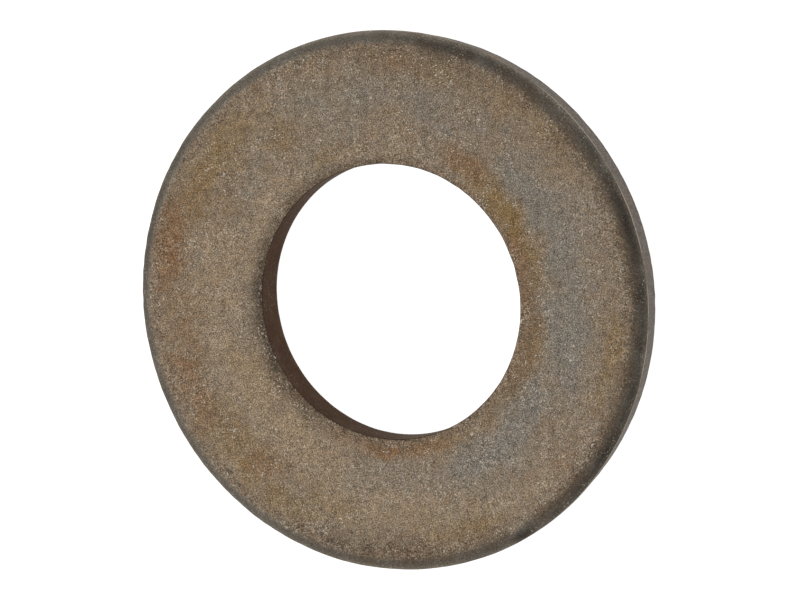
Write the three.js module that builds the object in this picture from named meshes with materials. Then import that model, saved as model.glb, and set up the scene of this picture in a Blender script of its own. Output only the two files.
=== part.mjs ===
// Flat washer: one blanked and pierced ring of plain steel.
//
// Units are millimetres, +Z up. The washer lies flat: the origin is the centre of
// its lower bearing face and +Z is the bore axis. The upper face is the one that met
// the die, so its outside edge is drawn over in a soft roll. The punched rim narrows
// towards the lower face, where the outside edge is crisp. The bore was pierced the
// other way about: it is drawn over at the lower face and crisp at the upper one.

import * as THREE from 'three';

// Driving dimensions
const OUTSIDE_DIAMETER = 27.0; // widest, at the sheared land under the roll
const BORE_DIAMETER = 13.75; // narrowest, at the sheared land of the bore
const THICKNESS = 2.4;

// Outside edge
const RIM_ROLL_WIDTH = 0.7; // radial width of the drawn-over edge
const RIM_ROLL_DEPTH = 0.55; // how far that edge falls below the upper face
const RIM_LAND_HEIGHT = 0.25; // straight sheared band under the roll
const RIM_BREAK_WIDTH = 0.3; // how far the torn band narrows by the lower face
const RIM_EDGE_RADIUS = 0.08; // tumbled lower corner

// Bore edge
const BORE_ROLL_WIDTH = 0.35; // radial width of the drawn-over edge
const BORE_ROLL_DEPTH = 0.8; // how far that edge rises above the lower face
const BORE_BREAK_HEIGHT = 0.7; // torn band under the upper lip
const BORE_BREAK_WIDTH = 0.02; // how far the torn band opens by the upper face
const BORE_EDGE_RADIUS = 0.05; // tumbled upper lip

// Facets
const RING_SEGMENTS = 96;
const ROLL_STEPS = 7;
const EDGE_STEPS = 2;

// Plain steel, browned by oil and air
const STEEL_COLOUR = 0x7a7064;
const STEEL_ROUGHNESS = 0.5;
const STEEL_METALNESS = 0.9;

// A quarter of an ellipse about (centreR, centreZ), from startAngle to a right angle
// further round, as profile points of (radius, height).
function quarterArc(centreR, centreZ, halfWidth, halfHeight, startAngle, steps) {
  const arc = [];
  for (let i = 0; i <= steps; i += 1) {
    const angle = startAngle + (Math.PI / 2) * (i / steps);
    const radius = centreR + halfWidth * Math.cos(angle);
    const height = centreZ + halfHeight * Math.sin(angle);
    arc.push(new THREE.Vector2(radius, height));
  }
  return arc;
}

// The rim from the lower face up to the upper face: tumbled corner, torn band that
// widens upwards, straight land, then the roll over into the upper face.
function rimProfile() {
  const rimRadius = OUTSIDE_DIAMETER / 2;
  const footRadius = rimRadius - RIM_BREAK_WIDTH;
  const rollFoot = THICKNESS - RIM_ROLL_DEPTH;
  const corner = quarterArc(
    footRadius - RIM_EDGE_RADIUS, RIM_EDGE_RADIUS,
    RIM_EDGE_RADIUS, RIM_EDGE_RADIUS, -Math.PI / 2, EDGE_STEPS,
  );
  const landFoot = new THREE.Vector2(rimRadius, rollFoot - RIM_LAND_HEIGHT);
  const roll = quarterArc(
    rimRadius - RIM_ROLL_WIDTH, rollFoot,
    RIM_ROLL_WIDTH, RIM_ROLL_DEPTH, 0, ROLL_STEPS,
  );
  return [...corner, landFoot, ...roll];
}

// The bore from the upper face down to the lower face: tumbled lip, torn band that
// narrows downwards, straight land, then the roll out into the lower face.
function boreProfile() {
  const boreRadius = BORE_DIAMETER / 2;
  const lipRadius = boreRadius + BORE_BREAK_WIDTH;
  const lip = quarterArc(
    lipRadius + BORE_EDGE_RADIUS, THICKNESS - BORE_EDGE_RADIUS,
    BORE_EDGE_RADIUS, BORE_EDGE_RADIUS, Math.PI / 2, EDGE_STEPS,
  );
  const landTop = new THREE.Vector2(boreRadius, THICKNESS - BORE_BREAK_HEIGHT);
  const roll = quarterArc(
    boreRadius + BORE_ROLL_WIDTH, BORE_ROLL_DEPTH,
    BORE_ROLL_WIDTH, BORE_ROLL_DEPTH, Math.PI, ROLL_STEPS,
  );
  return [...lip, landTop, ...roll];
}

function plainSteel() {
  return new THREE.MeshStandardMaterial({
    color: STEEL_COLOUR,
    roughness: STEEL_ROUGHNESS,
    metalness: STEEL_METALNESS,
  });
}

// The ring is turned about the lathe's own Y axis, then stood up so that the bore
// axis is +Z.
function flatWasher() {
  const profile = [...rimProfile(), ...boreProfile()];
  profile.push(profile[0].clone());
  const ring = new THREE.Mesh(
    new THREE.LatheGeometry(profile, RING_SEGMENTS),
    plainSteel(),
  );
  ring.name = 'flat_washer';
  ring.rotation.x = Math.PI / 2;
  return ring;
}

const part = new THREE.Group();
part.add(flatWasher());

export default part;
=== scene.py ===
"""The looks of a plain steel flat washer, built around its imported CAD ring."""

import math

import bmesh
import bpy
import numpy as np
from mathutils import Euler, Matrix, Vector


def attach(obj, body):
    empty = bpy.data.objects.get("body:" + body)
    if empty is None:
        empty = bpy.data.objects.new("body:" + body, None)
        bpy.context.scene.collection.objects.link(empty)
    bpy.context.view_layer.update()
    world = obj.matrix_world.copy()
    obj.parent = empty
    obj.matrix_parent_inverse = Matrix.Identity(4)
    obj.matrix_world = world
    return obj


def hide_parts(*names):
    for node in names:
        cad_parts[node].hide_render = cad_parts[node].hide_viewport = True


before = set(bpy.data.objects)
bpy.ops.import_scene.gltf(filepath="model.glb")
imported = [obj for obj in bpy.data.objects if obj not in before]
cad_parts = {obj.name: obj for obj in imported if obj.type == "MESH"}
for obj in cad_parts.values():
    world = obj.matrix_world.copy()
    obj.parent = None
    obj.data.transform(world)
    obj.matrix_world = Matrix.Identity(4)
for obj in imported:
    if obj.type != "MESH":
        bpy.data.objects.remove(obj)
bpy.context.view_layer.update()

bl_info = {
    "name": "Plain steel flat washer",
    "version": (1, 0, 0),
    "blender": (4, 5, 0),
    "location": "View3D > Sidebar > Washer",
    "description": "Makes a blanked and pierced steel washer, its finish and its studio",
    "category": "Object",
}

MM = 0.001
NODE = "flat_washer"
PIECE = "washer_ring"


# ---------------------------------------------------------------- sizes from the frame


def corner_places(mesh):
    """The mesh's corners as rows of x, y and z, in millimetres."""
    places = np.empty(len(mesh.vertices) * 3, np.float32)
    mesh.vertices.foreach_get("co", places)
    return places.reshape(-1, 3).astype(float) / MM


def ring_sizes():
    """The ring's sizes in millimetres, measured on the CAD node."""
    places = corner_places(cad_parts[NODE].data)
    radius = np.hypot(places[:, 0], places[:, 1])
    height = places[:, 2]
    close = 0.002
    upper = radius[height > height.max() - close]
    lower = radius[height < height.min() + close]
    widest = height[radius > radius.max() - close]
    narrowest = height[radius < radius.min() + close]
    return {
        "outside": float(radius.max()),
        "bore": float(radius.min()),
        "thickness": float(height.max()),
        "upper_in": float(upper.min()),
        "upper_out": float(upper.max()),
        "lower_in": float(lower.min()),
        "lower_out": float(lower.max()),
        "land_low": float(widest.min()),
        "land_high": float(widest.max()),
        "bore_land_low": float(narrowest.min()),
        "bore_land_high": float(narrowest.max()),
    }


SIZES = ring_sizes()


# ---------------------------------------------------------------- settings


def length_property(name, description, default):
    """A length setting, in millimetres."""
    return bpy.props.FloatProperty(name=name, description=description, default=default, min=0)


def colour_property(name, description, default):
    """A colour setting, in linear light."""
    return bpy.props.FloatVectorProperty(
        name=name, description=description, default=default, subtype="COLOR", size=3, min=0, max=1
    )


class WasherShape(bpy.types.PropertyGroup):
    """How finely the ring is turned, and how rough its punched edges are."""

    turn_steps: bpy.props.IntProperty(
        name="Turn steps", description="Sections turned round the ring", default=120, min=24
    )
    turn_cuts: bpy.props.IntProperty(
        name="Turn cuts", description="Cuts between two turned sections", default=4, min=0
    )
    face_step: length_property("Face step", "Spacing of the rings on a face, in mm", 0.17)
    wall_step: length_property("Wall step", "Spacing of the rings on rim and bore, in mm", 0.1)
    rim_edge: length_property("Rim edge", "Radius of the rim's tumbled lower corner, in mm", 0.08)
    lip_edge: length_property("Lip edge", "Radius of the bore's tumbled upper lip, in mm", 0.05)
    rim_sag: length_property("Rim sag", "How far the face droops towards the roll, in mm", 0.03)
    rim_sag_width: length_property("Rim sag width", "Width of that droop, in mm", 1.7)
    lip_sag: length_property("Lip sag", "How far the face droops towards the bore, in mm", 0.04)
    lip_sag_width: length_property("Lip sag width", "Width of that droop, in mm", 0.7)
    roll_wander: length_property("Roll wander", "How unevenly the edge is drawn over, in mm", 0.008)
    face_grain: length_property("Face grain", "Height of the tumbled relief on a face, in mm", 0.006)
    streaks: length_property("Streaks", "Depth of the upright scores on rim and bore, in mm", 0.0025)
    torn_grain: length_property("Torn grain", "Roughness of the torn bands, in mm", 0.005)
    lip_wander: length_property("Lip wander", "How far the bore's upper lip wanders, in mm", 0.006)
    dents: bpy.props.IntProperty(
        name="Dents", description="Small dents knocked into the edges", default=30, min=0
    )
    seed: bpy.props.IntProperty(name="Seed", description="Seed of relief and dents", default=7)


class WasherFinish(bpy.types.PropertyGroup):
    """Colours of the browned plain steel."""

    brown: colour_property("Oil brown", "Oily steel, browned by air", (0.254, 0.192, 0.132))
    grey: colour_property("Bare grey", "Barer steel between the brown", (0.248, 0.200, 0.151))
    bloom: colour_property("Blue bloom", "Cool grey bloom left by heat", (0.208, 0.186, 0.157))
    # Pale steel, which at the lower left near the bore also paints a highlight.
    pale: colour_property("Rubbed steel", "Steel rubbed clean and pale", (0.330, 0.243, 0.158))
    ochre: colour_property("Ochre", "Dried oil and first rust", (0.226, 0.148, 0.068))
    rust: colour_property("Rust", "Orange rust in the edges", (0.215, 0.126, 0.068))
    # Edge scale is dark oxide and also painted shade, darkest where the roll faces away from the key
    # light.
    scale_and_shade: colour_property("Edge scale", "Dark oxide on the drawn-over edge", (0.045, 0.038, 0.030))
    slate: colour_property("Roll slate", "Blue-grey of the drawn-over edge", (0.165, 0.152, 0.130))
    umber: colour_property("Umber", "Old oil gathered in the edges", (0.146, 0.104, 0.070))
    rim: colour_property("Sheared rim", "Rubbed steel of the sheared band", (0.158, 0.143, 0.130))
    bore: colour_property("Bore wall", "Dark brown oxide inside the bore", (0.060, 0.034, 0.024))
    # Painted highlight: the colour of glints of light off crystal faces and rubbed points, painted
    # into the base colour.
    glint_highlight: colour_property("Glint", "Bright crystal faces and rubbed points", (0.62, 0.56, 0.46))
    pit: colour_property("Pit", "Dark pits between the grains", (0.045, 0.036, 0.028))


class WasherStage(bpy.types.PropertyGroup):
    """Floor, lights and camera."""

    swing: bpy.props.FloatProperty(
        name="Swing", description="Camera swing to the right of the bore axis",
        default=math.radians(21.95), subtype="ANGLE",
    )
    lift: bpy.props.FloatProperty(
        name="Lift", description="Camera lift above the bore axis", default=math.radians(8.37),
        subtype="ANGLE",
    )
    distance: bpy.props.FloatProperty(
        name="Distance", description="Camera to washer", default=1.35, unit="LENGTH"
    )
    frame_width: bpy.props.FloatProperty(
        name="Frame width", description="Width of the view at the washer", default=39.76 * MM,
        unit="LENGTH",
    )
    floor_size: bpy.props.FloatProperty(
        name="Floor size", description="Side of the square floor", default=8.0, unit="LENGTH"
    )
    sky: bpy.props.FloatProperty(
        name="Sky", description="Strength of the pale surround", default=0.5, min=0
    )
    key: bpy.props.FloatProperty(
        name="Key", description="Power of the big softbox", default=12.0, unit="POWER"
    )


# ---------------------------------------------------------------- the ring's outline

# Steps round each rounded run of the section
CORNER_STEPS = 3
RIM_ROLL_STEPS = 14
BORE_ROLL_STEPS = 10


def arc_points(centre, half, start, count):
    """Points of (radius, height) on a quarter ellipse round centre, from the angle start."""
    points = []
    for i in range(count + 1):
        angle = start + math.pi / 2 * i / count
        points.append((centre[0] + half[0] * math.cos(angle), centre[1] + half[1] * math.sin(angle)))
    return points


def line_points(start, end, step):
    """Points between start and end, both left out, about step apart."""
    count = max(1, round(math.dist(start, end) / step))
    points = []
    for i in range(1, count):
        share = i / count
        points.append((start[0] + (end[0] - start[0]) * share, start[1] + (end[1] - start[1]) * share))
    return points


def ring_outline(shape):
    """The ring's section as points of (radius, height) in millimetres, round from the rim's foot."""
    s = SIZES
    foot = arc_points(
        (s["lower_out"], shape.rim_edge),
        (shape.rim_edge, shape.rim_edge),
        -math.pi / 2,
        CORNER_STEPS,
    )
    land = [(s["outside"], s["land_low"])]
    roll = arc_points(
        (s["upper_out"], s["land_high"]),
        (s["outside"] - s["upper_out"], s["thickness"] - s["land_high"]),
        0,
        RIM_ROLL_STEPS,
    )
    lip = arc_points(
        (s["upper_in"], s["thickness"] - shape.lip_edge),
        (shape.lip_edge, shape.lip_edge),
        math.pi / 2,
        CORNER_STEPS,
    )
    bore_land = [(s["bore"], s["bore_land_high"])]
    bore_roll = arc_points(
        (s["lower_in"], s["bore_land_low"]),
        (s["lower_in"] - s["bore"], s["bore_land_low"]),
        math.pi,
        BORE_ROLL_STEPS,
    )
    runs = [foot, land, roll, lip, bore_land, bore_roll]
    outline = []
    for i, run in enumerate(runs):
        following = runs[(i + 1) % len(runs)][0]
        flat = abs(run[-1][1] - following[1]) < shape.wall_step
        outline += run
        outline += line_points(run[-1], following, shape.face_step if flat else shape.wall_step)
    return outline


def lies_along(edge):
    """Whether an edge runs round the ring and not along its section."""
    first, second = (corner.co for corner in edge.verts)
    close = 1e-5 * MM
    return abs(first.z - second.z) < close and abs(first.xy.length - second.xy.length) < close


def spun_ring(outline, steps, cuts):
    """A closed ring turned from the outline round the bore axis, in metres."""
    ring = bmesh.new()
    corners = [ring.verts.new((radius * MM, 0, height * MM)) for radius, height in outline]
    edges = [
        ring.edges.new((corner, corners[(i + 1) % len(corners)])) for i, corner in enumerate(corners)
    ]
    bmesh.ops.spin(
        ring, geom=corners + edges, cent=(0, 0, 0), axis=(0, 0, 1), angle=2 * math.pi,
        steps=steps, use_merge=True, use_duplicate=False,
    )
    bmesh.ops.subdivide_edges(
        ring, edges=[edge for edge in ring.edges if lies_along(edge)], cuts=cuts, use_grid_fill=True
    )
    bmesh.ops.recalc_face_normals(ring, faces=ring.faces)
    if ring.calc_volume(signed=True) < 0:
        bmesh.ops.reverse_faces(ring, faces=ring.faces)
    if any(not edge.is_manifold for edge in ring.edges):
        raise RuntimeError("the ring isn't closed")
    return ring


# ---------------------------------------------------------------- the ring's relief

# Sizes of the relief's bumps, in millimetres
TUMBLED_SIZE = 0.35
WAVY_SIZE = 2.2
SCORE_SIZES = (0.3, 1.1)
TORN_SIZE = 0.3
ROLL_SIZE = 1.6
LIP_SIZE = 0.45

WAVY_SHARE = 1.5  # height of the wavy relief against the tumbled one
SCORE_RISE = 0.12  # how slowly scores change upwards, against round the ring
BORE_SCORES = 0.5  # depth of the bore's scores against the rim's
BORE_TORN = 0.4  # roughness of the bore's torn band against the rim's
DENT_DEPTHS = (0.003, 0.010)
DENT_SIZES = (0.2, 0.5)


def smooth(value, low, high):
    """0 below low, 1 above high, easing between."""
    share = np.clip((value - low) / (high - low), 0, 1)
    return share * share * (3 - 2 * share)


def near(value, middle, width):
    """1 at middle, easing to 0 a width away on each side."""
    return 1 - smooth(np.abs(value - middle), 0, width)


def ripples(places, size, seed, waves=48):
    """A smooth random relief, mostly from -1 to 1, with bumps about size millimetres across."""
    chance = np.random.default_rng(seed)
    heading = chance.normal(size=(waves, 3))
    heading /= np.linalg.norm(heading, axis=1)[:, None]
    length = size * chance.uniform(1.2, 3.5, waves)
    start = chance.uniform(0, 2 * math.pi, waves)
    phase = places @ (heading * (2 * math.pi / length)[:, None]).T + start
    return np.cos(phase).sum(axis=1) / math.sqrt(waves)


class RingZones:
    """Where each place lies on the ring, with shares from 0 to 1 of each zone."""

    def __init__(self, places):
        s = SIZES
        self.radius = np.hypot(places[:, 0], places[:, 1])
        self.height = places[:, 2]
        self.angle = np.degrees(np.arctan2(places[:, 1], places[:, 0]))
        under_roll = 1 - smooth(self.height, s["land_high"] - 0.02, s["land_high"] + 0.12)
        self.rim = smooth(self.radius, s["lower_out"] - 0.05, s["lower_out"] + 0.05) * under_roll
        self.bore = 1 - smooth(self.radius, s["upper_in"] - 0.02, s["upper_in"] + 0.1)
        self.face = (1 - self.rim) * (1 - self.bore)
        self.upper = smooth(self.height, s["thickness"] / 2, s["land_high"])


def dents(places, shape):
    """How deep each place lies in a small dent knocked into an edge, in millimetres."""
    chance = np.random.default_rng(shape.seed)
    edges = (
        (SIZES["outside"] - 0.15, SIZES["land_high"] + 0.2),
        (SIZES["outside"], SIZES["land_high"]),
        (SIZES["lower_out"], 0.0),
        (SIZES["upper_in"], SIZES["thickness"]),
    )
    depth = np.zeros(len(places))
    for i in range(shape.dents):
        radius, height = edges[i % len(edges)]
        angle = chance.uniform(0, 2 * math.pi)
        centre = np.array([radius * math.cos(angle), radius * math.sin(angle), height])
        away = np.linalg.norm(places - centre, axis=1)
        depth += chance.uniform(*DENT_DEPTHS) * near(away, 0, chance.uniform(*DENT_SIZES))
    return depth


def relief(places, shape):
    """How far the surface stands proud at each place, in millimetres."""
    s = SIZES
    zones = RingZones(places)
    along = places * (1, 1, SCORE_RISE)
    raised = zones.face * shape.face_grain * ripples(places, TUMBLED_SIZE, shape.seed)
    wavy = ripples(places, WAVY_SIZE, shape.seed + 1)
    raised += zones.face * shape.face_grain * WAVY_SHARE * wavy

    scores = ripples(along, SCORE_SIZES[0], shape.seed + 2)
    scores += ripples(along, SCORE_SIZES[1], shape.seed + 3)
    raised += (zones.rim + BORE_SCORES * zones.bore) * shape.streaks * scores

    torn = zones.rim * (1 - smooth(zones.height, s["land_low"] - 0.3, s["land_low"]))
    bore_torn = smooth(zones.height, s["bore_land_high"], s["bore_land_high"] + 0.2)
    torn += BORE_TORN * zones.bore * bore_torn
    raised += torn * shape.torn_grain * ripples(places, TORN_SIZE, shape.seed + 4)

    roll = zones.upper * zones.face * smooth(zones.radius, s["upper_out"] - 0.3, s["outside"] - 0.2)
    raised += roll * shape.roll_wander * ripples(along, ROLL_SIZE, shape.seed + 5)

    lip = near(zones.radius, s["upper_in"], 0.3) * near(zones.height, s["thickness"], 0.35)
    raised += lip * shape.lip_wander * ripples(places, LIP_SIZE, shape.seed + 6)
    return raised - dents(places, shape)


def droop(places, shape):
    """How far the upper face sinks towards the roll and towards the bore, in millimetres."""
    s = SIZES
    zones = RingZones(places)
    firm = smooth(zones.height, s["land_high"], s["thickness"])
    rim = smooth(zones.radius, s["upper_out"] - shape.rim_sag_width, s["outside"])
    lip = 1 - smooth(zones.radius, s["upper_in"], s["upper_in"] + shape.lip_sag_width)
    return firm * (shape.rim_sag * rim * rim + shape.lip_sag * lip * lip)


def rounded(places, steps):
    """The places between two turned sections moved out from the chord to the circle."""
    half = math.pi / steps
    off = np.arctan2(places[:, 1], places[:, 0]) % (2 * half) - half
    outward = np.cos(off) / math.cos(half)
    return places * np.column_stack((outward, outward, np.ones(len(places))))


def rough_up(mesh, shape):
    """Moves each corner by its relief and droop, and none below the lower face."""
    places = rounded(corner_places(mesh), shape.turn_steps)
    outward = np.empty(len(places) * 3, np.float32)
    mesh.vertex_normals.foreach_get("vector", outward)
    moved = places + outward.reshape(-1, 3) * relief(places, shape)[:, None]
    moved[:, 2] -= droop(places, shape)
    moved[:, 2] = np.clip(moved[:, 2], 0, None)
    mesh.vertices.foreach_set("co", (moved * MM).astype(np.float32).ravel())
    mesh.update()


# ---------------------------------------------------------------- stains, painted shade and painted highlight

# Each stain lies along the ring, painted shade and highlight among them: its kind, angle from
# +X in degrees, radius, half its length, half its width, and strength. Lengths are millimetres.
FACE_STAINS = (
    ("rust", 166, 12.1, 2.6, 0.9, 0.90),
    ("rust", 186, 11.3, 2.4, 1.1, 0.35),
    ("rust", 206, 11.6, 2.6, 1.0, 0.60),
    ("rust", 63, 8.3, 1.5, 0.6, 0.75),
    ("rust", 272, 7.4, 2.6, 0.5, 0.95),
    ("rust", 291, 7.5, 1.6, 0.4, 0.60),
    ("rust", 90, 12.1, 1.8, 0.6, 0.45),
    ("rust", 10, 7.25, 2.4, 0.5, 0.90),
    ("rust", 150, 10.2, 1.2, 0.8, 0.35),
    ("rust", 231, 10.9, 1.3, 0.9, 0.45),
    ("rust", 323, 11.9, 1.4, 0.6, 0.35),
    ("rust", 340, 7.5, 1.6, 0.5, 0.40),
    ("ochre", 147, 11.6, 3.0, 1.2, 0.70),
    ("ochre", 221, 11.2, 2.8, 1.2, 0.65),
    ("ochre", 243, 11.9, 2.0, 0.8, 0.45),
    ("ochre", 125, 10.0, 1.3, 1.0, 0.45),
    ("ochre", 36, 7.8, 3.2, 0.8, 0.90),
    ("ochre", 115, 7.9, 1.6, 0.6, 0.45),
    ("ochre", 345, 7.6, 2.4, 0.7, 0.55),
    ("ochre", 50, 12.2, 2.6, 0.6, 0.40),
    ("ochre", 351, 12.0, 2.6, 0.5, 0.60),
    ("ochre", 289, 12.0, 2.6, 0.7, 0.55),
    ("ochre", 300, 7.6, 2.0, 0.5, 0.45),
    ("ochre", 210, 8.4, 2.6, 0.9, 0.25),
    ("ochre", 252, 10.9, 2.0, 0.9, 0.35),
    ("ochre", 80, 12.0, 5.0, 1.0, 0.30),
    ("bloom", 30, 9.7, 5.0, 1.4, 0.75),
    ("bloom", 350, 9.6, 4.0, 1.3, 0.80),
    ("bloom", 88, 10.6, 5.0, 1.2, 0.45),
    ("bloom", 305, 9.0, 3.2, 1.1, 0.80),
    ("bloom", 325, 8.6, 2.4, 1.0, 0.70),
    ("bloom", 262, 9.3, 2.6, 1.0, 0.35),
    ("bloom", 70, 9.6, 3.0, 1.2, 0.30),
    # The pale stains from 174° to 262°, near the bore at the lower left, are partly a painted
    # highlight lightening that side; the rest are paler steel.
    ("pale", 213, 9.0, 3.6, 1.4, 0.60),
    ("pale", 212, 7.9, 1.6, 0.5, 0.35),
    ("pale", 240, 8.6, 2.6, 1.1, 0.45),
    ("pale", 174, 9.3, 2.6, 1.2, 0.40),
    ("pale", 140, 8.3, 1.6, 0.8, 0.30),
    ("pale", 281, 10.8, 3.4, 1.0, 0.25),
    ("pale", 262, 10.0, 4.0, 1.4, 0.40),
    ("pale", 310, 11.8, 4.5, 0.8, 0.40),
    ("pale", 153, 7.9, 2.0, 0.6, 0.45),
    ("pale", 228, 12.0, 3.5, 0.6, 0.30),
    # The umber stains at 10° and 318°, along the roll's right side, are partly painted shade,
    # darkening the side that faces away from the key light.
    ("umber", 213, 7.3, 3.0, 0.6, 0.75),
    ("umber", 85, 10.0, 9.0, 2.6, 0.10),
    ("umber", 10, 12.95, 14.0, 0.4, 0.70),
    ("umber", 318, 12.95, 6.0, 0.4, 0.70),
    ("umber", 75, 12.4, 6.0, 0.8, 0.40),
    ("umber", 268, 12.6, 4.0, 0.9, 0.80),
    ("umber", 150, 12.65, 60.0, 0.4, 0.40),
    ("umber", 348, 7.4, 5.0, 0.6, 0.50),
    # These dark edge stains are oxide scale and painted shade: they darken the roll most on its right
    # side, away from the key light, and the bore's left lip.
    ("scale_and_shade", 181, 6.95, 3.0, 0.6, 0.50),
    ("scale_and_shade", 205, 6.95, 2.0, 0.5, 0.30),
    ("scale_and_shade", 8, 13.5, 14.0, 0.35, 0.80),
    ("scale_and_shade", 322, 13.5, 8.0, 0.30, 0.60),
    ("scale_and_shade", 65, 13.4, 4.0, 0.35, 0.25),
    ("scale_and_shade", 80, 13.1, 1.4, 0.35, 0.45),
    ("scale_and_shade", 256, 12.6, 0.4, 0.15, 0.60),
    ("scale_and_shade", 265, 12.3, 0.3, 0.15, 0.60),
    ("scale_and_shade", 196, 13.0, 2.5, 0.25, 0.25),
    ("scale_and_shade", 172, 13.3, 8.0, 0.25, 0.35),
)
TINTS = ("bloom", "pale", "ochre", "rust")
# The edge colours laid last: umber, and edge scale with its painted shade.
EDGE_STAINS_AND_SHADE = ("umber", "scale_and_shade")
STAIN_KINDS = (*TINTS, *EDGE_STAINS_AND_SHADE)
# Flecks strewn all over the faces: their kind, size in millimetres and greatest share.
FLECKS = (("ochre", 0.30, 0.45), ("bloom", 0.45, 0.45), ("rust", 0.55, 0.35))
RAGGED_SHARE = 0.25  # how far a stain's edge wanders, against its half width
RAGGED_SIZE = 0.8  # size in millimetres of that wandering
STAIN_CORE = 0.1  # reach within which a stain is at full strength
STAIN_EDGE = 1.5  # reach at which it is gone
STAIN_SEED = 40
UNDER_TURN = 137.0  # degrees by which the lower face's stains are turned from the upper's


def stain_shares(places, kind):
    """How strongly a kind of stain or painted shade lies at each place, from 0 to 1."""
    zones = RingZones(places)
    wander = RAGGED_SHARE * ripples(places, RAGGED_SIZE, STAIN_KINDS.index(kind) + STAIN_SEED)
    turned = np.where(zones.upper > 0.5, zones.angle, UNDER_TURN - zones.angle)
    clear = np.ones(len(places))
    for other, angle, radius, half_length, half_width, strength in FACE_STAINS:
        if other != kind:
            continue
        off = (turned - angle + 180) % 360 - 180
        along = np.radians(off) * radius / half_length
        across = (zones.radius - radius) / half_width
        reach = np.hypot(along, across) + wander
        clear *= 1 - strength * (1 - smooth(reach, STAIN_CORE, STAIN_EDGE))
    return 1 - clear


def paint_stains(mesh):
    """Writes each kind of stain, painted shade among them, to an attribute of its name, which the
    steel's nodes read.
    """
    places = corner_places(mesh)
    for kind in STAIN_KINDS:
        layer = mesh.attributes.new(kind, "FLOAT", "POINT")
        layer.data.foreach_set("value", stain_shares(places, kind).astype(np.float32))


# ---------------------------------------------------------------- the map for baking

MAP_NAME = "OFBake"
DISC = 0.29  # radius of one opened-out disc on the unit square
DISC_CENTRES = (0.705, 0.295)  # of the upper half and of the lower half, along the diagonal


def lay_out_map(mesh):
    """Adds the map for baking: the ring's upper and lower halves, each opened out flat as a disc."""
    places = corner_places(mesh)
    corner = np.empty(len(mesh.loops), int)
    mesh.loops.foreach_get("vertex_index", corner)
    count = np.empty(len(mesh.polygons), int)
    mesh.polygons.foreach_get("loop_total", count)
    centre = np.empty(len(mesh.polygons) * 3)
    mesh.polygons.foreach_get("center", centre)
    upper = np.repeat(centre.reshape(-1, 3)[:, 2] / MM > SIZES["thickness"] / 2, count)

    place = places[corner]
    radius = np.hypot(place[:, 0], place[:, 1])
    drop = np.where(upper, SIZES["thickness"] - place[:, 2], place[:, 2])
    outer = radius > (SIZES["outside"] + SIZES["bore"]) / 2
    opened = radius + np.where(outer, drop, -drop)
    scale = DISC / (SIZES["outside"] + SIZES["thickness"] / 2) * opened / radius
    middle = np.where(upper, DISC_CENTRES[0], DISC_CENTRES[1])
    flipped = np.where(upper, 1.0, -1.0)
    spots = np.column_stack((middle + flipped * place[:, 0] * scale, middle + place[:, 1] * scale))
    layer = mesh.uv_layers.new(name=MAP_NAME)
    layer.data.foreach_set("uv", spots.astype(np.float32).ravel())


class WASHER_OT_make_ring(bpy.types.Operator):
    """Turns the ring, roughens its punched edges and paints where its stains and painted shade lie"""

    bl_idname = "washer.make_ring"
    bl_label = "Make ring"

    def execute(self, context):
        shape = context.scene.washer_shape
        ring = spun_ring(ring_outline(shape), shape.turn_steps, shape.turn_cuts)
        mesh = bpy.data.meshes.new(PIECE)
        ring.to_mesh(mesh)
        ring.free()
        rough_up(mesh, shape)
        paint_stains(mesh)
        lay_out_map(mesh)
        mesh.shade_smooth()
        piece = bpy.data.objects.new(PIECE, mesh)
        context.scene.collection.objects.link(piece)
        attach(piece, "root")
        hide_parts(NODE)
        return {"FINISHED"}


# ---------------------------------------------------------------- the steel's nodes

# Each noise of the steel: size of its blots in millimetres, detail, roughness and seed
NOISE = {
    "wander": (0.5, 3.0, 0.6, 11.0),
    "patches": (4.0, 3.0, 0.6, 1.0),
    "grain": (0.060, 1.0, 0.5, 3.0),
    "mottling": (0.40, 3.0, 0.85, 4.0),
    "rim_streaks": (0.10, 2.0, 0.6, 5.0),
    "rim_rust": (1.6, 2.0, 0.5, 6.0),
    # rubbed breaks up the painted highlight along the crease.
    "rubbed": (2.5, 2.0, 0.5, 7.0),
    "bore_clouds": (1.2, 3.0, 0.6, 8.0),
    # glints and glint_crowds place the painted glint highlights.
    "glints": (0.070, 0.0, 0.5, 12.0),
    "glint_crowds": (0.9, 2.0, 0.6, 13.0),
}
SCRATCH_TURNS = (0.5, 1.7, 2.7)  # headings of the short scratches, in radians
SCRATCH_STRETCH = 3.5
SCRATCH_LIFT = 0.12
SCRATCH_SEED = 20.0
STREAK_RISE = 9.0  # how much longer than wide the rim's streaks run
FLECK_SEED = 50.0
TINT_SEED = 30.0

# Greatest share of a colour laid over another
LIP_UMBER = 0.6
ROLL_SLATE = 0.8
RIM_RUST = 0.45
# CREASE_HIGHLIGHT is the share of the painted highlight along the crease.
CREASE_HIGHLIGHT = 0.6
BORE_UMBER = 0.2
PIT_SHARE = 0.6
# GLINT_SHARE is the share of the painted glint highlights.
GLINT_SHARE = 0.9

# Share of the grain that each zone has lost
ROLL_WEAR = 0.5
BORE_WEAR = 0.8
RIM_WEAR = 0.6

GRAIN_SWING = 3.4  # how strongly the grain lightens and darkens the steel
GRAIN_LEVEL = -1.29  # sets the steel's mean lightness
RIM_SHADE = 1.08
TORN_SHADE = -0.15
METALLIC = 0.95
EDGE_TINT = (0.55, 0.51, 0.47, 1)  # dims the steel where it is seen edge on
ROUGHNESS = 0.6
ROUGHNESS_SWING = -0.2
BUMP_HEIGHT = 0.010  # in millimetres


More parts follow.
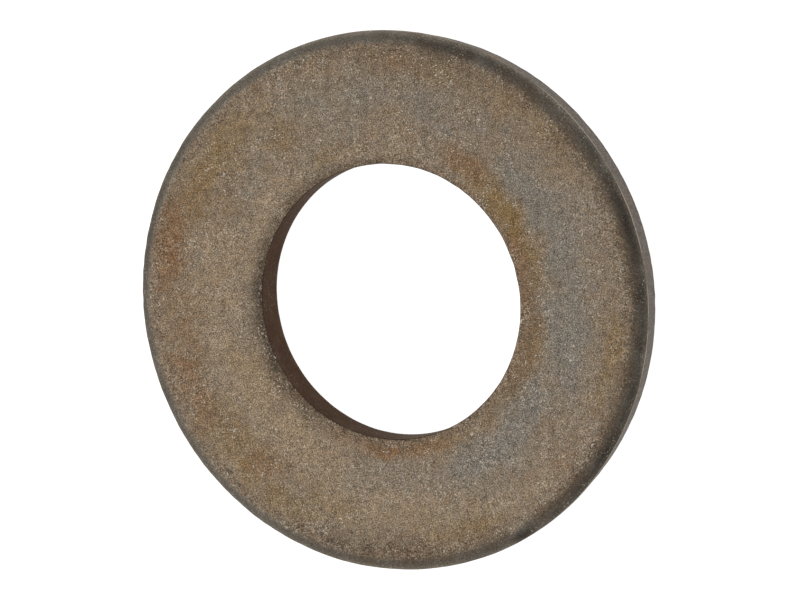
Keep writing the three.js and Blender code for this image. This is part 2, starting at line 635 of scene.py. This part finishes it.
class Bench:
    """Adds nodes to one material and links them."""

    def __init__(self, material):
        self.tree = material.node_tree

    def add(self, kind, **settings):
        node = self.tree.nodes.new(kind)
        for name, value in settings.items():
            setattr(node, name, value)
        return node

    def feed(self, socket, value):
        """Links value if it is another node's output, and sets it otherwise."""
        if isinstance(value, bpy.types.NodeSocket):
            self.tree.links.new(value, socket)
        else:
            socket.default_value = value

    def math(self, operation, first, second=0.0, third=0.0, clamp=False):
        node = self.add("ShaderNodeMath", operation=operation, use_clamp=clamp)
        for socket, value in zip(node.inputs, (first, second, third)):
            self.feed(socket, value)
        return node.outputs[0]

    def product(self, *values):
        """Several values multiplied together."""
        result = values[0]
        for value in values[1:]:
            result = self.math("MULTIPLY", result, value)
        return result

    def fade(self, value, low, high, bottom=0.0, top=1.0):
        """bottom at low, top at high, easing between; low may be the greater."""
        node = self.add("ShaderNodeMapRange", interpolation_type="SMOOTHSTEP")
        self.feed(node.inputs["Value"], value)
        limits = (low, high, bottom, top) if low < high else (high, low, top, bottom)
        for name, limit in zip(("From Min", "From Max", "To Min", "To Max"), limits):
            node.inputs[name].default_value = limit
        return node.outputs["Result"]

    def mix(self, factor, first, second):
        """Two colours mixed; a plain colour is three numbers."""
        node = self.add("ShaderNodeMix", data_type="RGBA")
        self.feed(node.inputs["Factor"], factor)
        for socket, value in ((node.inputs[6], first), (node.inputs[7], second)):
            self.feed(socket, value if isinstance(value, bpy.types.NodeSocket) else (*value, 1.0))
        return node.outputs[2]

    def shade(self, colour, amount):
        """A colour made lighter or darker by a number."""
        node = self.add("ShaderNodeVectorMath", operation="SCALE")
        self.feed(node.inputs[0], colour)
        self.feed(node.inputs["Scale"], amount)
        return node.outputs["Vector"]

    def stretched(self, where, turn, stretch, rise=1.0):
        """The place as a pattern reads it that runs long at an angle round Z, or upright."""
        node = self.add("ShaderNodeMapping", vector_type="TEXTURE")
        self.feed(node.inputs["Vector"], where)
        node.inputs["Rotation"].default_value = (0, 0, turn)
        node.inputs["Scale"].default_value = (stretch, 1, rise)
        return node.outputs["Vector"]

    def clouds(self, where, size, detail, roughness, seed):
        """Soft noise from 0 to 1 whose blots are about size millimetres across."""
        node = self.add("ShaderNodeTexNoise", noise_dimensions="4D")
        self.feed(node.inputs["Vector"], where)
        node.inputs["W"].default_value = seed
        node.inputs["Scale"].default_value = 1.0 / size
        node.inputs["Detail"].default_value = detail
        node.inputs["Roughness"].default_value = roughness
        return node.outputs["Fac"]

    def painted(self, name):
        """A stain's share, as it was painted on the mesh."""
        return self.add("ShaderNodeAttribute", attribute_name=name).outputs["Fac"]


class SteelPlaces:
    """Where a point of the steel lies: its place in millimetres and its zones."""

    def __init__(self, bench):
        s = SIZES
        place = bench.add("ShaderNodeTexCoord").outputs["Object"]
        to_mm = bench.add("ShaderNodeVectorMath", operation="SCALE")
        bench.feed(to_mm.inputs[0], place)
        to_mm.inputs["Scale"].default_value = 1 / MM
        self.where = to_mm.outputs["Vector"]
        flat = bench.add("ShaderNodeVectorMath", operation="MULTIPLY")
        bench.feed(flat.inputs[0], self.where)
        flat.inputs[1].default_value = (1, 1, 0)
        length = bench.add("ShaderNodeVectorMath", operation="LENGTH")
        bench.feed(length.inputs[0], flat.outputs["Vector"])
        self.radius = length.outputs["Value"]
        split = bench.add("ShaderNodeSeparateXYZ")
        bench.feed(split.inputs[0], self.where)
        self.height = split.outputs["Z"]

        self.wander = bench.clouds(self.where, *NOISE["wander"])
        crease = bench.math("MULTIPLY_ADD", self.wander, 0.10, self.height)
        self.rim = bench.math(
            "MULTIPLY",
            bench.fade(self.radius, s["lower_out"], s["lower_out"] + 0.1),
            bench.fade(crease, s["land_high"] + 0.10, s["land_high"]),
        )
        flare = bench.product(
            bench.fade(self.radius, s["lower_in"] + 0.02, s["lower_in"] - 0.08),
            bench.fade(self.height, 0.03, 0.30),
            bench.fade(self.height, s["thickness"] - 0.06, s["thickness"] - 0.30),
        )
        inside = bench.fade(self.radius, s["upper_in"] - 0.01, s["bore"] + 0.03)
        self.bore = bench.math("MAXIMUM", inside, flare)
        edge = bench.math("MULTIPLY_ADD", self.wander, 0.3, self.radius)
        self.roll = bench.math(
            "MULTIPLY",
            bench.fade(edge, s["upper_out"] + 0.05, s["upper_out"] + 0.50),
            bench.fade(self.height, s["thickness"] / 2, s["land_high"]),
        )
        inner = bench.math("MULTIPLY_ADD", self.wander, -0.5, self.radius)
        self.lip = bench.fade(inner, s["upper_in"] + 0.40, s["upper_in"] - 0.20)
        self.torn = bench.fade(crease, s["land_low"] + 0.10, s["land_low"] - 0.05)
        # The band under the roll's crease, which takes a painted highlight.
        self.crease = bench.math(
            "MULTIPLY",
            bench.fade(self.height, s["land_high"] - 0.14, s["land_high"] - 0.08),
            bench.fade(self.height, s["land_high"] - 0.02, s["land_high"] - 0.08),
        )


def steel_grain(bench, places):
    """Fine tumbled grain from 0 to 1, with short scratches laid in three directions."""
    fine = bench.fade(bench.clouds(places.where, *NOISE["grain"]), 0.30, 0.90)
    mottling = bench.clouds(places.where, *NOISE["mottling"])
    grain = bench.math("MULTIPLY_ADD", fine, 0.5, bench.math("MULTIPLY", mottling, 0.5))
    for i, turn in enumerate(SCRATCH_TURNS):
        strokes = bench.clouds(
            bench.stretched(places.where, turn, SCRATCH_STRETCH), 0.05, 0.0, 0.5, SCRATCH_SEED + i
        )
        lift = bench.math("MULTIPLY", bench.fade(strokes, 0.58, 0.78), SCRATCH_LIFT)
        grain = bench.math("ADD", grain, lift)
    return grain


def stained_colour(bench, places, finish):
    """The face's brown and grey with its painted stains and a painted highlight, broken up by noise.
    """
    patches = bench.fade(bench.clouds(places.where, *NOISE["patches"]), 0.36, 0.64)
    colour = bench.mix(patches, finish.brown, finish.grey)
    for i, (kind, size, most) in enumerate(FLECKS):
        strewn = bench.clouds(places.where, size, 2.0, 0.6, FLECK_SEED + i)
        share = bench.fade(strewn, 0.45, 0.75, 0.0, most)
        colour = bench.mix(share, colour, getattr(finish, kind))
    for i, kind in enumerate(TINTS):
        ragged = bench.clouds(places.where, 0.5, 4.0, 0.75, TINT_SEED + i)
        share = bench.math("MULTIPLY", bench.painted(kind), bench.fade(ragged, 0.25, 0.75, 0.55, 1.45))
        share = bench.math("MINIMUM", share, 1.0)
        colour = bench.mix(share, colour, getattr(finish, kind))
    return colour


def steel_colour(bench, places, grain, finish):
    """The whole washer's colour: face, roll, rim and bore, with grain, pits, painted shade on the
    roll, a painted highlight along the crease and painted glint highlights.
    """
    colour = stained_colour(bench, places, finish)
    colour = bench.mix(bench.math("MULTIPLY", places.lip, LIP_UMBER), colour, finish.umber)
    colour = bench.mix(bench.math("MULTIPLY", places.roll, ROLL_SLATE), colour, finish.slate)
    # Umber and edge scale, with the painted shade they carry.
    for kind in EDGE_STAINS_AND_SHADE:
        colour = bench.mix(bench.painted(kind), colour, getattr(finish, kind))

    upright = bench.stretched(places.where, 0.0, 1.0, STREAK_RISE)
    streaks = bench.clouds(upright, *NOISE["rim_streaks"])
    rusty = bench.clouds(places.where, *NOISE["rim_rust"])
    rim = bench.mix(bench.fade(rusty, 0.5, 0.75, 0.0, RIM_RUST), finish.rim, finish.rust)
    rim = bench.shade(rim, bench.fade(streaks, 0.3, 0.7, 0.72, 1.28))
    rim = bench.shade(rim, bench.math("MULTIPLY_ADD", places.torn, TORN_SHADE, RIM_SHADE))
    colour = bench.mix(places.rim, colour, rim)
    # Painted highlight: a pale line along the crease under the roll, broken up by the rubbed noise.
    rubbed = bench.clouds(places.where, *NOISE["rubbed"])
    rubbed = bench.fade(rubbed, 0.35, 0.55, 0.0, CREASE_HIGHLIGHT)
    colour = bench.mix(bench.math("MULTIPLY", places.crease, rubbed), colour, finish.glint_highlight)
    lighter = bench.clouds(places.where, *NOISE["bore_clouds"])
    lighter = bench.fade(lighter, 0.40, 0.70, 0.0, BORE_UMBER)
    colour = bench.mix(places.bore, colour, bench.mix(lighter, finish.bore, finish.umber))

    worn = bench.math("MULTIPLY", places.bore, BORE_WEAR)
    worn = bench.math("MULTIPLY_ADD", places.roll, ROLL_WEAR, worn)
    worn = bench.math("MULTIPLY_ADD", places.rim, RIM_WEAR, worn)
    open_grain = bench.math("SUBTRACT", 1.0, worn, clamp=True)
    swing = bench.math("MULTIPLY_ADD", grain, GRAIN_SWING, GRAIN_LEVEL)
    colour = bench.shade(colour, bench.math("MULTIPLY_ADD", swing, open_grain, 1.0))
    pits = bench.product(bench.fade(grain, 0.26, 0.14), open_grain, PIT_SHARE)
    colour = bench.mix(pits, colour, finish.pit)
    # Painted highlights: sparse glints, gathered in crowds, painted into the base colour where the
    # grain is open.
    bright = bench.fade(bench.clouds(places.where, *NOISE["glints"]), 0.62, 0.76)
    crowd = bench.fade(bench.clouds(places.where, *NOISE["glint_crowds"]), 0.35, 0.65)
    glints = bench.product(bright, crowd, open_grain, GLINT_SHARE)
    return bench.mix(glints, colour, finish.glint_highlight)


def steel_material(finish):
    """Browned plain steel, patterned by where a point lies on the washer."""
    material = bpy.data.materials.new("browned_steel")
    material.use_nodes = True
    bench = Bench(material)
    shader = material.node_tree.nodes["Principled BSDF"]
    places = SteelPlaces(bench)
    grain = steel_grain(bench, places)
    bench.feed(shader.inputs["Base Color"], steel_colour(bench, places, grain, finish))
    shader.inputs["Metallic"].default_value = METALLIC
    shader.inputs["Specular Tint"].default_value = EDGE_TINT
    rough = bench.math("MULTIPLY_ADD", grain, ROUGHNESS_SWING, ROUGHNESS)
    bench.feed(shader.inputs["Roughness"], rough)
    bump = bench.add("ShaderNodeBump")
    bump.inputs["Strength"].default_value = 1.0
    bump.inputs["Distance"].default_value = BUMP_HEIGHT * MM
    bench.feed(bump.inputs["Height"], grain)
    bench.feed(shader.inputs["Normal"], bump.outputs["Normal"])
    return material


class WASHER_OT_dress_steel(bpy.types.Operator):
    """Gives the ring its browned plain steel"""

    bl_idname = "washer.dress_steel"
    bl_label = "Dress steel"

    def execute(self, context):
        piece = bpy.data.objects[PIECE]
        piece.data.materials.clear()
        piece.data.materials.append(steel_material(context.scene.washer_finish))
        return {"FINISHED"}


# ---------------------------------------------------------------- the stage

AIM = (-0.43 * MM, -0.23 * MM)  # where the camera points, off the bore axis
FLOOR_GLOW = 0.9
SENSOR_WIDTH = 36.0


def add_floor(stage):
    """A plain pale floor under the washer, lit from within like a light table so it stays even."""
    floor = bmesh.new()
    bmesh.ops.create_grid(floor, x_segments=1, y_segments=1, size=stage.floor_size / 2)
    mesh = bpy.data.meshes.new("floor")
    floor.to_mesh(mesh)
    floor.free()
    piece = bpy.data.objects.new("floor", mesh)
    bpy.context.scene.collection.objects.link(piece)
    material = bpy.data.materials.new("pale_floor")
    material.use_nodes = True
    shader = material.node_tree.nodes["Principled BSDF"]
    shader.inputs["Base Color"].default_value = (0.6, 0.6, 0.6, 1)
    shader.inputs["Roughness"].default_value = 0.9
    shader.inputs["Specular IOR Level"].default_value = 0.1
    shader.inputs["Emission Color"].default_value = (1, 1, 1, 1)
    shader.inputs["Emission Strength"].default_value = FLOOR_GLOW
    mesh.materials.append(material)


def add_softbox(name, azimuth, elevation, distance, size, power):
    """A square softbox aimed at the washer. Azimuth turns from +X towards +Y."""
    lamp = bpy.data.lights.new(name, "AREA")
    lamp.shape = "SQUARE"
    lamp.size = size
    lamp.energy = power
    box = bpy.data.objects.new(name, lamp)
    away = Vector((
        math.cos(elevation) * math.cos(azimuth),
        math.cos(elevation) * math.sin(azimuth),
        math.sin(elevation),
    ))
    box.location = away * distance
    box.rotation_euler = away.to_track_quat("Z", "Y").to_euler()
    box.visible_camera = False
    bpy.context.scene.collection.objects.link(box)


def add_camera(stage):
    """A long lens, swung to the right of the bore axis and lifted a little."""
    lens = bpy.data.cameras.new("camera")
    lens.sensor_width = SENSOR_WIDTH
    lens.lens = lens.sensor_width * stage.distance / stage.frame_width
    lens.clip_start = 0.01
    lens.clip_end = 20.0
    camera = bpy.data.objects.new("camera", lens)
    turn = Euler((-stage.lift, stage.swing, 0), "XYZ")
    aim = Vector((*AIM, stage.distance))
    camera.rotation_euler = turn
    camera.location = turn.to_matrix() @ aim
    bpy.context.scene.collection.objects.link(camera)
    bpy.context.scene.camera = camera


def add_sky(strength):
    """An even pale surround."""
    world = bpy.data.worlds.new("surround")
    world.use_nodes = True
    backdrop = world.node_tree.nodes["Background"]
    backdrop.inputs["Color"].default_value = (1, 1, 1, 1)
    backdrop.inputs["Strength"].default_value = strength
    bpy.context.scene.world = world


class WASHER_OT_set_stage(bpy.types.Operator):
    """Sets the floor, the lights and the camera"""

    bl_idname = "washer.set_stage"
    bl_label = "Set stage"

    def execute(self, context):
        stage = context.scene.washer_stage
        add_floor(stage)
        add_softbox("key_softbox", math.radians(190), math.radians(50), 2.4, 1.6, stage.key)
        add_sky(stage.sky)
        add_camera(stage)
        context.scene.view_settings.view_transform = "Standard"
        return {"FINISHED"}


class WASHER_PT_panel(bpy.types.Panel):
    """Lists the washer's operators"""

    bl_idname = "WASHER_PT_panel"
    bl_label = "Flat washer"
    bl_space_type = "VIEW_3D"
    bl_region_type = "UI"
    bl_category = "Washer"

    def draw(self, context):
        for operator in OPERATORS:
            self.layout.operator(operator.bl_idname)


OPERATORS = (WASHER_OT_make_ring, WASHER_OT_dress_steel, WASHER_OT_set_stage)
GROUPS = {"washer_shape": WasherShape, "washer_finish": WasherFinish, "washer_stage": WasherStage}


def register():
    for group in GROUPS.values():
        bpy.utils.register_class(group)
    for operator in OPERATORS:
        bpy.utils.register_class(operator)
    bpy.utils.register_class(WASHER_PT_panel)
    for name, group in GROUPS.items():
        setattr(bpy.types.Scene, name, bpy.props.PointerProperty(type=group))


def unregister():
    for name in GROUPS:
        delattr(bpy.types.Scene, name)
    bpy.utils.unregister_class(WASHER_PT_panel)
    for operator in reversed(OPERATORS):
        bpy.utils.unregister_class(operator)
    for group in reversed(GROUPS.values()):
        bpy.utils.unregister_class(group)


def main():
    register()
    bpy.ops.washer.make_ring()
    bpy.ops.washer.dress_steel()
    bpy.ops.washer.set_stage()


if __name__ == "__main__":
    main()
